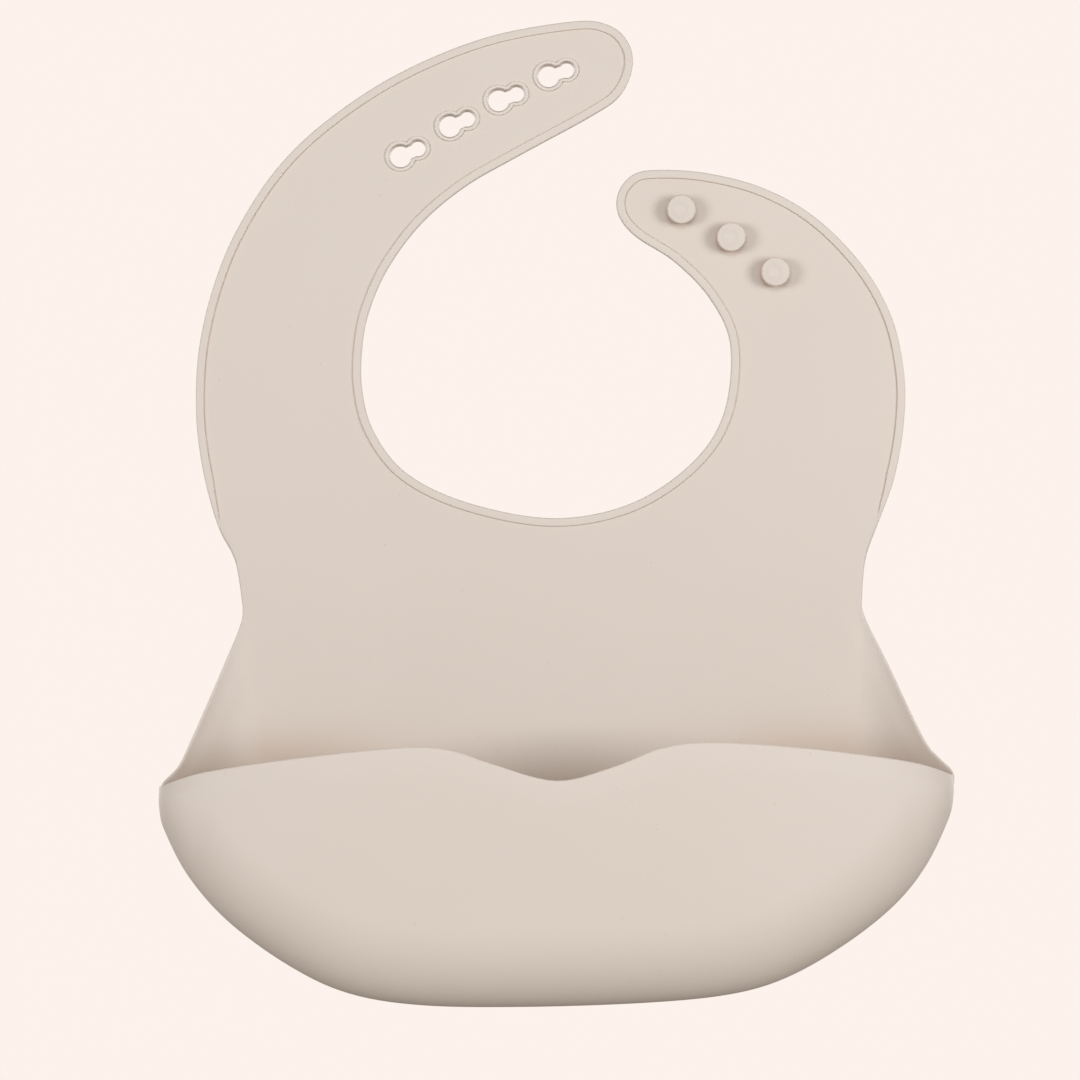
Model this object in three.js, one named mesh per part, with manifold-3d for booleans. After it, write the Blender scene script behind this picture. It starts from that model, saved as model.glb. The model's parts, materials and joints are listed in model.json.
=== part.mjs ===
// A baby's silicone bib: a flat chest panel, a collar of two open straps that button together behind the
// neck, and a moulded crumb-catcher pocket. The bib stands upright as it is worn: +Z is up, the front
// faces -Y, and the origin is the centre of the neck opening, in the middle of the sheet's thickness.
import * as THREE from "three";
import { mergeVertices } from "three/addons/utils/BufferGeometryUtils.js";
import Module from "manifold-3d";

const wasm = await Module();
wasm.setup();

// Driving dimensions, mm
const SHEET = 1.8; // thickness of the panel, the straps and the pocket's walls
const RIM_WIDTH = 2.4; // raised bead round the collar's edges
const RIM_END_WIDTH = 0.9; // the bead's width where it dies out above the waist
const RIM_HEIGHT = 0.6; // how far bead and keyhole collars stand proud of the front face
const SEAM_GAP = 0.3; // clearance between neighbouring solids

const POCKET_DEPTH = 46; // front lip's foremost point, in front of the panel
const POCKET_SPINE_Y = -23; // the pocket's silhouette runs at this depth
const FLOOR_CUT_RADIUS = 16; // the floor trough ends this far from the pocket's hinge line
const FLOOR_HINGE_Z = -183.5;
const POCKET_CUT_X = 70; // the front wall and floor end here, and the two side scoops begin
const EAR_FOLD_RADIUS = 1.3; // tightest bend in the pocket's sheet, at its two corners
const EAR_SWEEP_POWER = 1.7; // how early the back wall starts forward on its long sweep to a corner
const LIP_BOW_SHAPE = 2.6; // above 2, the lip seen from above is flatter in front than an ellipse
const LIP_BOW_FULLNESS = 0.62; // below 1, it comes forward fast beside the corners
const FRONT_LEAN = 0.16; // share of its depth that the front wall gains from foot to lip
const FRONT_FOOT_SHARE = 0.7; // most of the front wall's height that the round of its foot may take

const STUD_HEAD_RADIUS = 4.25;
const STUD_STEM_RADIUS = 2.5;
const STUD_STEM_HEIGHT = 2.2;
const STUD_HEAD_THICKNESS = 2.3;
const STUD_HEAD_EDGE = 0.8; // bevel round the head
const STUD_CENTRES = [
  [38, 45.8],
  [52.6, 37.7],
  [65.6, 27.5],
];

const KEYHOLE_LOBE = 3.5; // radius that a stud's head is pushed through
const KEYHOLE_SLOT = 2.6; // radius that holds the stem
const KEYHOLE_NECK = 2.1; // half width between the two lobes
const KEYHOLE_NECK_MARGIN = 0.05; // how far the neck's corners clear the crossing of the two lobes
const KEYHOLE_SPACING = 5.6; // from lobe centre to slot centre
const COLLAR_WIDTH = 1;
const KEYHOLE_COUNT = 4;
const KEYHOLE_TURN = THREE.MathUtils.degToRad(-7); // the keyholes lean this much off the strap's line
const KEYHOLE_LINE = [
  [-44.5, 61.8],
  [-30, 70.7],
  [-15.6, 78.3],
  [-0.9, 85.4],
];

const SILICONE = { color: 0xdfd5cb, roughness: 0.62, metalness: 0 };
const SILICONE_RAISED = { color: 0xe3d9d0, roughness: 0.6, metalness: 0 };

// The collar's one open edge, [x, z], with the silicone on the right of its direction of travel. Named
// points mark where the rim dies out and where the straps fold.
const EDGE_POINTS = [
  [-91, -70.7, "left waist"],
  [-93.2, -57.4],
  [-98, -47.6, "left rim end"],
  [-102, -33.5],
  [-104.3, -19, "keyhole fold 1 outer"],
  [-104.6, -5],
  [-103.2, 8.8],
  [-99.2, 24.5],
  [-92.8, 39.8, "keyhole fold 2 outer"],
  [-81.8, 57],
  [-67.5, 71.2, "keyhole fold 3 outer"],
  [-46, 85.6],
  [-20, 96.5],
  [6, 101.4],
  [16.6, 100.4],
  [22.3, 95.6],
  [23.9, 88.4],
  [20.3, 79.9],
  [12, 73.8],
  [-10, 61.8],
  [-25.3, 53],
  [-38, 42.4, "keyhole fold 3 inner"],
  [-47.6, 29.8],
  [-53.1, 18, "keyhole fold 2 inner"],
  [-55.6, 7],
  [-55.8, -6.5],
  [-52.2, -19.5, "keyhole fold 1 inner"],
  [-42.5, -31.6],
  [-24.5, -40.2],
  [0.5, -44.7],
  [23, -40.5],
  [41, -28.7],
  [50.6, -14, "stud fold 1 inner"],
  [52.6, 6, "stud fold 2 inner"],
  [46.8, 19.6],
  [36.4, 30.6],
  [24.9, 38.1],
  [19.8, 44.2],
  [19.4, 50.6],
  [23.4, 56],
  [30, 57.7],
  [45, 56.9],
  [62, 52.5],
  [77.5, 43.8],
  [91.2, 30, "stud fold 2 outer"],
  [100, 14.6],
  [103.7, -2],
  [103.6, -17, "stud fold 1 outer"],
  [100.9, -32.5],
  [96.4, -45.4, "right rim end"],
  [92.4, -57],
  [91.3, -70.7, "right waist"],
];
const WAIST_Z = EDGE_POINTS[0][1];

// The pocket seen from the front, [x, z]: its two free edges from the waist down to just above the
// corners, its lower outline from corner to corner, and its lip, which dips in the middle.
const LEFT_FREE_EDGE = [
  [-91, -70.7],
  [-91.6, -76],
  [-96.7, -89],
  [-104.8, -109],
  [-108.2, -116.6],
  [-112.6, -121.6],
];
const RIGHT_FREE_EDGE = [
  [91.3, -70.7],
  [92.9, -75.5],
  [98.9, -88],
  [108, -108.6],
  [112, -114],
  [115.8, -118],
];
const POCKET_OUTLINE = [
  [-113.7, -126.5],
  [-111.6, -134.2],
  [-104.5, -147.9],
  [-92.7, -161.2],
  [-75.2, -173.8],
  [-58.5, -181.5],
  [-38, -184.9],
  [-9, -185.4],
  [25.5, -184.3],
  [50, -182],
  [66.5, -177.4],
  [83.1, -168.2],
  [98, -156.6],
  [107.5, -144.9],
  [114.1, -131.2],
  [116.2, -123],
];
const LIP = [
  [-112.6, -122],
  [-99.5, -117.3],
  [-74, -113],
  [-43, -109.6],
  [-29, -110.2],
  [-16, -114.4],
  [1.5, -118.8],
  [18, -114.6],
  [31, -109.6],
  [46, -108.1],
  [74, -110.1],
  [102, -114.2],
  [115, -118.6],
];

const STEPS_PER_POINT = 4;
const ARC_STEPS = 10;
const STUD_SIDES = 20;
const HINGE_BAR_SIDES = 64;
const POCKET_COLUMNS = 44;
const POCKET_BACK_ROWS = 14;
const POCKET_FRONT_ROWS = 9;
const BACK_ROW_CROWDING = 1.6; // rows stand closer together towards the floor, where the sheet bends
const FRONT_ROW_CROWDING = 1.5;
const CUTTER_REACH = 300;

const edgeCurve = new THREE.SplineCurve(EDGE_POINTS.map(([x, z]) => new THREE.Vector2(x, z)));
const markAt = (name) => EDGE_POINTS.findIndex(([, , mark]) => mark === name);

// A point on the edge, counted in control points, moved into the silicone by an inset.
function edgePoint(position, inset) {
  const t = THREE.MathUtils.clamp(position / (EDGE_POINTS.length - 1), 0, 1);
  const tangent = edgeCurve.getTangent(t);
  return edgeCurve.getPoint(t).add(new THREE.Vector2(tangent.y, -tangent.x).multiplyScalar(inset));
}

// The rim swells from its narrow end to full width over a stretch above each waist.
function rimWidth(position) {
  const fromEnd = Math.min(position - markAt("left rim end"), markAt("right rim end") - position);
  return THREE.MathUtils.mapLinear(THREE.MathUtils.clamp(fromEnd, 0, 1), 0, 1, RIM_END_WIDTH, RIM_WIDTH);
}

const hasRim = (position) => position > markAt("left rim end") && position < markAt("right rim end");
const sheetInset = (position) => (hasRim(position) ? rimWidth(position) + SEAM_GAP : 0);

// Half a seam gap along the edge, counted in control points.
function halfGapAt(index) {
  const spacing = edgePoint(index, 0).distanceTo(edgePoint(index + 0.5, 0)) * 2;
  return SEAM_GAP / 2 / spacing;
}

// Points along the edge between two marks, each moved in by its inset, with a half gap kept at both ends.
function edgeRun(fromMark, toMark, inset) {
  const from = markAt(fromMark);
  const to = markAt(toMark);
  const start = from === 0 ? 0 : from + halfGapAt(from);
  const end = to === EDGE_POINTS.length - 1 ? to : to - halfGapAt(to);
  const count = (to - from) * STEPS_PER_POINT;
  return Array.from({ length: count + 1 }, (_, i) => {
    const position = start + ((end - start) * i) / count;
    return edgePoint(position, inset(position));
  });
}

// A flat solid of a shape drawn in x and z, from the back face forwards.
function flatGeometry(shape, thickness) {
  const geometry = new THREE.ExtrudeGeometry(shape, { depth: thickness, bevelEnabled: false });
  geometry.rotateX(Math.PI / 2);
  geometry.translate(0, SHEET / 2, 0);
  return geometry;
}

function namedMesh(name, geometry, look = SILICONE) {
  const mesh = new THREE.Mesh(geometry, new THREE.MeshStandardMaterial(look));
  mesh.name = name;
  return mesh;
}

// A piece of the sheet bounded by runs of the collar's edge, joined by straight cuts.
function sheetPiece(name, runs, holes = []) {
  const shape = new THREE.Shape(runs.flatMap(([from, to]) => edgeRun(from, to, sheetInset)));
  shape.holes = holes;
  return namedMesh(name, flatGeometry(shape, SHEET));
}

// A piece of the raised rim along one run of the collar's edge.
function rimPiece(name, from, to) {
  const outside = edgeRun(from, to, () => 0);
  const inside = edgeRun(from, to, rimWidth).reverse();
  const shape = new THREE.Shape([...outside, ...inside]);
  return namedMesh(name, flatGeometry(shape, SHEET + RIM_HEIGHT), SILICONE_RAISED);
}

// Two round lobes joined by a straight neck, the big one at the origin and the small one along +x. The
// neck is never narrower than where the two circles cross.
function keyholePoints(grow) {
  const lobe = KEYHOLE_LOBE + grow;
  const slot = KEYHOLE_SLOT + grow;
  const crossing = (KEYHOLE_SPACING ** 2 + lobe ** 2 - slot ** 2) / (2 * KEYHOLE_SPACING);
  const narrowest = Math.sqrt(lobe ** 2 - crossing ** 2) + KEYHOLE_NECK_MARGIN;
  const neck = Math.max(KEYHOLE_NECK, narrowest);
  const lobeAngle = Math.asin(neck / lobe);
  const slotAngle = Math.asin(neck / slot);
  const arc = (centre, radius, from, to) =>
    Array.from({ length: ARC_STEPS + 1 }, (_, i) => {
      const angle = from + ((to - from) * i) / ARC_STEPS;
      return new THREE.Vector2(centre + radius * Math.cos(angle), radius * Math.sin(angle));
    });
  return [
    ...arc(0, lobe, lobeAngle, 2 * Math.PI - lobeAngle),
    ...arc(KEYHOLE_SPACING, slot, slotAngle - Math.PI, Math.PI - slotAngle),
  ];
}

// Where keyhole number `index` sits, evenly spaced along the strap, and which way its slot points.
function keyholePlace(index) {
  const line = new THREE.SplineCurve(KEYHOLE_LINE.map(([x, z]) => new THREE.Vector2(x, z)));
  const t = index / (KEYHOLE_COUNT - 1);
  return { centre: line.getPoint(t), angle: line.getTangent(t).angle() + KEYHOLE_TURN };
}

function keyholeOutline(index, grow) {
  const { centre, angle } = keyholePlace(index);
  const origin = new THREE.Vector2();
  return keyholePoints(grow).map((point) => point.rotateAround(origin, angle).add(centre));
}

// The raised collar round one keyhole, as deep as the sheet and the rim together.
function keyholeCollar(index) {
  const shape = new THREE.Shape(keyholeOutline(index, COLLAR_WIDTH));
  shape.holes = [new THREE.Path(keyholeOutline(index, 0))];
  const geometry = flatGeometry(shape, SHEET + RIM_HEIGHT);
  return namedMesh(`keyhole_collar_${index + 1}`, geometry, SILICONE_RAISED);
}

// A mushroom stud: a stem on the strap's front face and a wider head with a rounded rim.
function stud(index) {
  const [x, z] = STUD_CENTRES[index];
  const top = STUD_STEM_HEIGHT + STUD_HEAD_THICKNESS;
  const profile = [
    [0, 0],
    [STUD_STEM_RADIUS, 0],
    [STUD_STEM_RADIUS, STUD_STEM_HEIGHT],
    [STUD_HEAD_RADIUS - STUD_HEAD_EDGE / 2, STUD_STEM_HEIGHT],
    [STUD_HEAD_RADIUS, STUD_STEM_HEIGHT + STUD_HEAD_EDGE],
    [STUD_HEAD_RADIUS, top - STUD_HEAD_EDGE],
    [STUD_HEAD_RADIUS - STUD_HEAD_EDGE, top],
    [0, top],
  ];
  const geometry = new THREE.LatheGeometry(profile.map(([r, h]) => new THREE.Vector2(r, h)), STUD_SIDES);
  const mesh = namedMesh(`stud_${index + 1}`, geometry, SILICONE_RAISED);
  mesh.rotation.x = Math.PI;
  mesh.position.set(x, -SHEET / 2 - SEAM_GAP, z);
  return mesh;
}

const pocketCurve = (points) => new THREE.SplineCurve(points.map(([x, z]) => new THREE.Vector2(x, z)));
const pocketOutline = pocketCurve(POCKET_OUTLINE);
const pocketLip = pocketCurve(LIP);
const leftFreeEdge = pocketCurve([...LEFT_FREE_EDGE, outlinePoint(0).toArray()]);
const rightFreeEdge = pocketCurve([...RIGHT_FREE_EDGE, outlinePoint(1).toArray()]);

// The middle of the sheet at the outline: half the sheet's thickness inside what is seen from the front.
function outlinePoint(u) {
  const tangent = pocketOutline.getTangentAt(u);
  return pocketOutline.getPointAt(u).add(new THREE.Vector2(-tangent.y, tangent.x).multiplyScalar(SHEET / 2));
}

// Rises from 0 to 1 over a quarter circle, and stays there.
function quarterRound(distance, radius) {
  const s = Math.min(distance / radius, 1);
  return Math.sqrt(1 - (1 - s) ** 2);
}

// 0 along the pocket's middle and 1 at its two corners, for a place u from 0 at the left to 1 at the right.
const cornerness = (u) => Math.abs(2 * u - 1) ** 3;

// The front-view place of the back wall: a patch between the waist, both free edges and the outline,
// with v from 0 at the waist to 1 at the outline.
function backPatch(u, v) {
  const left = leftFreeEdge.getPointAt(v);
  const right = rightFreeEdge.getPointAt(v);
  const low = outlinePoint(u);
  const between = (a, b, share) => new THREE.Vector2().lerpVectors(a, b, share);
  const waist = between(leftFreeEdge.getPoint(0), rightFreeEdge.getPoint(0), u);
  const chord = between(outlinePoint(0), outlinePoint(1), u);
  return between(left, right, u).add(between(waist, low, v)).sub(between(waist, chord, v));
}

// The back wall stays flat, then curves forward to the outline: in a round trough at the bottom, and in
// a long gentle sweep at the corners.
function backPoint(u, v) {
  const place = backPatch(u, v);
  const distance = place.distanceTo(outlinePoint(u));
  const sweep = THREE.MathUtils.lerp(-POCKET_SPINE_Y, leftFreeEdge.getLength(), cornerness(u));
  const round = quarterRound(distance, sweep);
  const gentle = 1 - (1 - Math.min(distance / sweep, 1)) ** EAR_SWEEP_POWER;
  const rise = THREE.MathUtils.lerp(round, gentle, cornerness(u));
  const fold = EAR_FOLD_RADIUS * cornerness(u) * quarterRound(distance, EAR_FOLD_RADIUS);
  const y = POCKET_SPINE_Y * (1 - rise) + fold * (1 - rise);
  return new THREE.Vector3(place.x, y, place.y);
}

// How far forward the front wall stands at its lip: most in the middle, none past the corner's own fold.
function lipDepth(u) {
  const bow = (1 - Math.abs(2 * u - 1) ** LIP_BOW_SHAPE) ** LIP_BOW_FULLNESS;
  return THREE.MathUtils.lerp(-POCKET_SPINE_Y + EAR_FOLD_RADIUS, POCKET_DEPTH - SHEET / 2, bow);
}

// The front wall, with v from 0 at the outline to 1 at the lip, leaning forward towards the lip.
function frontPoint(u, v) {
  const low = outlinePoint(u);
  const lip = pocketLip.getPointAt(u);
  const place = new THREE.Vector2().lerpVectors(low, lip, v);
  const footRound = Math.max(low.distanceTo(lip) * FRONT_FOOT_SHARE, EAR_FOLD_RADIUS);
  const reach = Math.min(-POCKET_SPINE_Y, footRound);
  const round = quarterRound(place.distanceTo(low), reach);
  const lean = 1 - FRONT_LEAN * (1 - v);
  const spine = -POCKET_SPINE_Y;
  return new THREE.Vector3(place.x, -(spine + (lipDepth(u) - spine) * round * lean), place.y);
}

// The pocket's sheet as rows from the waist down the back, round the floor and up to the lip.
function pocketRows() {
  const row = (pointAt, v) =>
    Array.from({ length: POCKET_COLUMNS + 1 }, (_, i) => pointAt(i / POCKET_COLUMNS, v));
  const even = (count, from) => Array.from({ length: count + 1 - from }, (_, i) => (i + from) / count);
  const crowdedLow = (v) => 1 - (1 - v) ** BACK_ROW_CROWDING;
  const back = even(POCKET_BACK_ROWS, 0).map((v) => row(backPoint, crowdedLow(v)));
  const front = even(POCKET_FRONT_ROWS, 1).map((v) => row(frontPoint, v ** FRONT_ROW_CROWDING));
  return [...back, ...front];
}

// A sheet of even thickness over a grid of middle points, as one closed surface.
function thickSheet(rows) {
  const height = rows.length;
  const width = rows[0].length;
  const pointAt = (j, i) => rows[THREE.MathUtils.clamp(j, 0, height - 1)][THREE.MathUtils.clamp(i, 0, width - 1)];
  const normalAt = (j, i) => {
    const across = new THREE.Vector3().subVectors(pointAt(j, i + 1), pointAt(j, i - 1));
    const down = new THREE.Vector3().subVectors(pointAt(j + 1, i), pointAt(j - 1, i));
    return across.cross(down).normalize();
  };
  const side = (sign) =>
    rows.flatMap((row, j) => row.map((p, i) => p.clone().addScaledVector(normalAt(j, i), (sign * SHEET) / 2)));
  const geometry = new THREE.BufferGeometry().setFromPoints([...side(1), ...side(-1)]);
  const other = height * width;
  const quad = (a, b, c, d) => [a, b, c, a, c, d];
  const faces = [];
  for (let j = 0; j < height - 1; j++) {
    for (let i = 0; i < width - 1; i++) {
      const [a, b, c, d] = [j * width + i, (j + 1) * width + i, (j + 1) * width + i + 1, j * width + i + 1];
      faces.push(...quad(a, d, c, b));
      faces.push(...quad(a + other, b + other, c + other, d + other));
    }
  }
  const wall = (a, b) => faces.push(...quad(a, b, b + other, a + other));
  for (let i = 0; i < width - 1; i++) {
    wall(i + 1, i);
    wall((height - 1) * width + i, (height - 1) * width + i + 1);
  }
  for (let j = 0; j < height - 1; j++) {
    wall(j * width, (j + 1) * width);
    wall((j + 2) * width - 1, (j + 1) * width - 1);
  }
  return geometry.setIndex(faces);
}

// A closed three.js surface as a solid that can be cut.
function toSolid(geometry) {
  const bare = geometry.clone();
  bare.deleteAttribute("normal");
  bare.deleteAttribute("uv");
  const merged = mergeVertices(bare, 1e-4);
  const mesh = new wasm.Mesh({
    numProp: 3,
    vertProperties: merged.getAttribute("position").array,
    triVerts: new Uint32Array(merged.index.array),
  });
  return new wasm.Manifold(mesh);
}

function toGeometry(solid) {
  const { vertProperties, triVerts } = solid.getMesh();
  return new THREE.BufferGeometry()
    .setAttribute("position", new THREE.BufferAttribute(vertProperties, 3))
    .setIndex(new THREE.BufferAttribute(triVerts, 1));
}

// A box between two corners, as a cutting solid.
function boxCutter(low, high) {
  const size = high.map((value, i) => value - low[i]);
  const middle = high.map((value, i) => (value + low[i]) / 2);
  return toSolid(new THREE.BoxGeometry(...size).translate(...middle));
}

// A round bar along the pocket's hinge line, as a cutting solid.
function hingeBar(radius) {
  const bar = new THREE.CylinderGeometry(radius, radius, 2 * CUTTER_REACH, HINGE_BAR_SIDES);
  bar.rotateZ(Math.PI / 2);
  bar.translate(0, POCKET_SPINE_Y, FLOOR_HINGE_Z);
  return toSolid(bar);
}

// The pocket moulding cut into its flat back, floor trough, front wall and two side scoops. The front
// wall ends on a round cut about its own hinge line, so it swings without rubbing on the floor.
function pocketPieces() {
  const shell = toSolid(thickSheet(pocketRows()));
  const half = SEAM_GAP / 2;
  const reach = CUTTER_REACH;
  const top = WAIST_Z - half;
  const middleX = POCKET_CUT_X - half;
  const middle = boxCutter([-middleX, -reach, -reach], [middleX, reach, top]);
  const left = boxCutter([-reach, -reach, -reach], [-POCKET_CUT_X - half, reach, top]);
  const right = boxCutter([POCKET_CUT_X + half, -reach, -reach], [reach, reach, top]);
  const ahead = boxCutter([-reach, -reach, -reach], [reach, POCKET_SPINE_Y, reach]);
  const core = shell.intersect(middle);
  const walls = core.subtract(hingeBar(FLOOR_CUT_RADIUS + half));
  const pieces = {
    pocket_back: walls.subtract(ahead),
    pocket_floor: core.intersect(hingeBar(FLOOR_CUT_RADIUS - half)),
    pocket_front: walls.intersect(ahead),
    pocket_side_left: shell.intersect(left),
    pocket_side_right: shell.intersect(right),
  };
  return Object.entries(pieces).map(([name, solid]) => namedMesh(name, toGeometry(solid)));
}

function chestPieces() {
  const runs = [
    ["left waist", "left rim end"],
    ["left rim end", "keyhole fold 1 outer"],
    ["keyhole fold 1 inner", "stud fold 1 inner"],
    ["stud fold 1 outer", "right rim end"],
    ["right rim end", "right waist"],
  ];
  return [
    sheetPiece("chest_panel", runs),
    rimPiece("chest_rim_left", "left rim end", "keyhole fold 1 outer"),
    rimPiece("chest_rim_neck", "keyhole fold 1 inner", "stud fold 1 inner"),
    rimPiece("chest_rim_right", "stud fold 1 outer", "right rim end"),
  ];
}

// One length of strap between two folds: its sheet, its outer rim and its inner rim.
function strapLength(name, outerFrom, outerTo, innerFrom, innerTo) {
  const runs = [
    [outerFrom, outerTo],
    [innerFrom, innerTo],
  ];
  return [
    sheetPiece(name, runs),
    rimPiece(`${name}_rim_outer`, outerFrom, outerTo),
    rimPiece(`${name}_rim_inner`, innerFrom, innerTo),
  ];
}

function keyholeStrap() {
  const indices = Array.from({ length: KEYHOLE_COUNT }, (_, i) => i);
  const holes = indices.map((i) => new THREE.Path(keyholeOutline(i, COLLAR_WIDTH + SEAM_GAP)));
  const tipRun = ["keyhole fold 3 outer", "keyhole fold 3 inner"];
  const [outer1, inner1] = ["keyhole fold 1 outer", "keyhole fold 1 inner"];
  const [outer2, inner2] = ["keyhole fold 2 outer", "keyhole fold 2 inner"];
  return [
    ...strapLength("keyhole_strap_shoulder", outer1, outer2, inner2, inner1),
    ...strapLength("keyhole_strap_middle", outer2, tipRun[0], tipRun[1], inner2),
    sheetPiece("keyhole_strap_tip", [tipRun], holes),
    rimPiece("keyhole_strap_tip_rim", ...tipRun),
    ...indices.map(keyholeCollar),
  ];
}

function studStrap() {
  const tipRun = ["stud fold 2 inner", "stud fold 2 outer"];
  const [outer1, inner1] = ["stud fold 1 outer", "stud fold 1 inner"];
  return [
    ...strapLength("stud_strap_shoulder", tipRun[1], outer1, inner1, tipRun[0]),
    sheetPiece("stud_strap_tip", [tipRun]),
    rimPiece("stud_strap_tip_rim", ...tipRun),
    ...STUD_CENTRES.map((_, index) => stud(index)),
  ];
}

const bib = new THREE.Group();
bib.name = "silicone_bib";
bib.add(...chestPieces(), ...keyholeStrap(), ...studStrap(), ...pocketPieces());

export default bib;
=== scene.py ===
import json
import math

import bmesh
import bpy
import numpy as np
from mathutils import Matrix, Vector
from mathutils.geometry import delaunay_2d_cdt

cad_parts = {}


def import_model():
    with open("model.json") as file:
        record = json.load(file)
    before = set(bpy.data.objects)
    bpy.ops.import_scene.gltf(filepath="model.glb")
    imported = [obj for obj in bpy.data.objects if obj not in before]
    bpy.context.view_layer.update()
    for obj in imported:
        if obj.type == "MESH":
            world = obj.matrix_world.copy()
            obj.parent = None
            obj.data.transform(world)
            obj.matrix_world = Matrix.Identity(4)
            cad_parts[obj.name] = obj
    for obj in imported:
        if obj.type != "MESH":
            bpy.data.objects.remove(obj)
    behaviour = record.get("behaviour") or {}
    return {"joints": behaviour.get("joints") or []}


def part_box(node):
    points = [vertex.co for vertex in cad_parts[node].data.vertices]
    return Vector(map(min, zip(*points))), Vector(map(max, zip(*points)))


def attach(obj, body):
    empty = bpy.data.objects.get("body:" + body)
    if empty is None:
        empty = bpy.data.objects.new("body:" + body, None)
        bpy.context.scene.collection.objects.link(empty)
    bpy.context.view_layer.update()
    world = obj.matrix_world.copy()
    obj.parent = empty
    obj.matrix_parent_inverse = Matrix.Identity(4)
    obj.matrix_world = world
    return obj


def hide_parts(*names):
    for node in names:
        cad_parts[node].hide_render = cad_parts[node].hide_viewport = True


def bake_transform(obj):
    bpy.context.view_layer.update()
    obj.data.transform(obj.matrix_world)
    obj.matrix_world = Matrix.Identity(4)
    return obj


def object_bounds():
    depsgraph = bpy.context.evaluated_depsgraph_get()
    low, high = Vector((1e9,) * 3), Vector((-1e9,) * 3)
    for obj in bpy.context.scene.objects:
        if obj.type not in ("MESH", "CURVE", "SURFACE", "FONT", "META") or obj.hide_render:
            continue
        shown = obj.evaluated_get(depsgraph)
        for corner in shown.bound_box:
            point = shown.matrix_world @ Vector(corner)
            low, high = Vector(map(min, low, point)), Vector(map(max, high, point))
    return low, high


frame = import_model()
cad_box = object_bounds()

MM = 0.001
JOINTS = {joint["name"]: joint for joint in frame["joints"]}


def node_size(node):
    low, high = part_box(node)
    return high - low


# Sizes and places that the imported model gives, in metres
MIDDLE = (cad_box[0] + cad_box[1]) / 2
HALF_SHEET = node_size("chest_panel").y / 2
RIM_FRONT_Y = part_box("chest_rim_left")[0].y
RIM_HEIGHT = -HALF_SHEET - RIM_FRONT_Y
HINGE_Y = JOINTS["pocket_flex"]["pos_m"][1]
LIP_DEPTH = -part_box("pocket_front")[0].y
STUD_RADIUS = node_size("stud_1").x / 2

# The raised bead along the collar's edge, in metres
RIM_WIDTH = 2.4 * MM
RIM_END_WIDTH = 0.9 * MM
RIM_CORNER = 0.5 * MM  # rounding of the bead's outer front corner
RIM_INNER_CORNER = 0.25 * MM  # and of the one towards the sheet, which leaves a fine crease
RIM_BACK_CORNER = 0.35 * MM
RIM_CORNER_LIMIT = 0.42  # where the bead is narrow, the outer front corner keeps to this share of its width
RIM_SMALL_CORNER_LIMIT = 0.3  # and each of the other corners to this share
TUCK = 0.03 * MM  # keeps a bead's face from lying exactly in the sheet's face

# The sheet's bare edges and the pocket's walls, in metres and shares
EDGE_ROUND = 0.75 * MM  # how far in the rounding of a bare edge of the sheet starts
EDGE_ROUND_LIMIT = 0.6  # of a mesh step, where the steps beside the edge are shorter than the rounding
EDGE_THINNING = 0.45  # the pocket's bare edges thin out to this share of the sheet
THINNING_REACH = 7 * MM
THINNING_START = 25 * MM  # the side edges come to it over this much height below the waist seam
EAR_FOLD_RADIUS = 1.3 * MM  # tightest bend in the pocket's sheet, at its two corners
EAR_SWEEP_POWER = 1.7  # how early the back wall starts forward on its long sweep to a corner
CORNER_POWER = 3  # how closely the pocket's corners keep their own shape to themselves
LIP_BOW_SHAPE = 2.6  # above 2, the lip seen from above is flatter in front than an ellipse
LIP_BOW_FULLNESS = 0.62  # below 1, it comes forward fast beside the corners
FRONT_LEAN = 0.16  # share of its depth that the front wall gains from foot to lip
FRONT_FOOT_SHARE = 0.7  # most of the front wall's height that the round of its foot may take

# The keyholes, in metres
KEYHOLE_LOBE = 3.5 * MM  # radius that a stud's head is pushed through
KEYHOLE_SLOT = 2.6 * MM  # radius that holds the stem
KEYHOLE_NECK = 2.1 * MM  # half width between the two lobes
KEYHOLE_NECK_GROWTH = 0.84  # the neck widens by this share of what the lobes grow
KEYHOLE_NECK_SPARE = 0.05 * MM  # and stays this much wider than the place where the lobes cross
KEYHOLE_SPACING = 5.6 * MM  # from lobe centre to slot centre
KEYHOLE_COUNT = 4
KEYHOLE_TURN = math.radians(-7)  # the keyholes lean this much off the strap's line
KEYHOLE_DRAFT = 0.45 * MM  # the hole is this much smaller at the sheet's back
COLLAR_WIDTH = 1 * MM

# The keyhole collar's section in millimetres. Its outer corner is [inset from the collar's outside, depth
# below its crown], its inner corner is [distance outside the hole, depth], and the hole's wall is [share of
# the draft, depth].
COLLAR_OUTER_CORNER = [[0, 0.25], [0.08, 0.08], [0.25, 0]]
COLLAR_INNER_CORNER = [[0.3, 0], [0.1, 0.1], [0, 0.35]]
COLLAR_WALL = [[0.15, 0.9], [0.4, 1.5], [0.75, 2.0]]

# The stud's section in millimetres. The stem is [radius, height above the sheet], the head's underside is
# [inset from its rim, height], its crown is [inset from its rim, depth below its top], and the low ring on
# the crown is [radius, depth below the top].
STUD_STEM = [[3.3, -0.3], [3.1, 0.05], [2.75, 0.25], [2.5, 0.7], [2.5, 1.7], [2.65, 2.1], [3.1, 2.35]]
STUD_UNDERSIDE = [[0.6, 2.45], [0.2, 2.6], [0, 3.0]]
STUD_CROWN = [[0, 0.6], [0.1, 0.32], [0.28, 0.14], [0.5, 0.08]]
STUD_RING = [[2.3, 0.08], [2.15, 0], [1.95, 0], [1.8, 0.1], [0.4, 0.1]]

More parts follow.
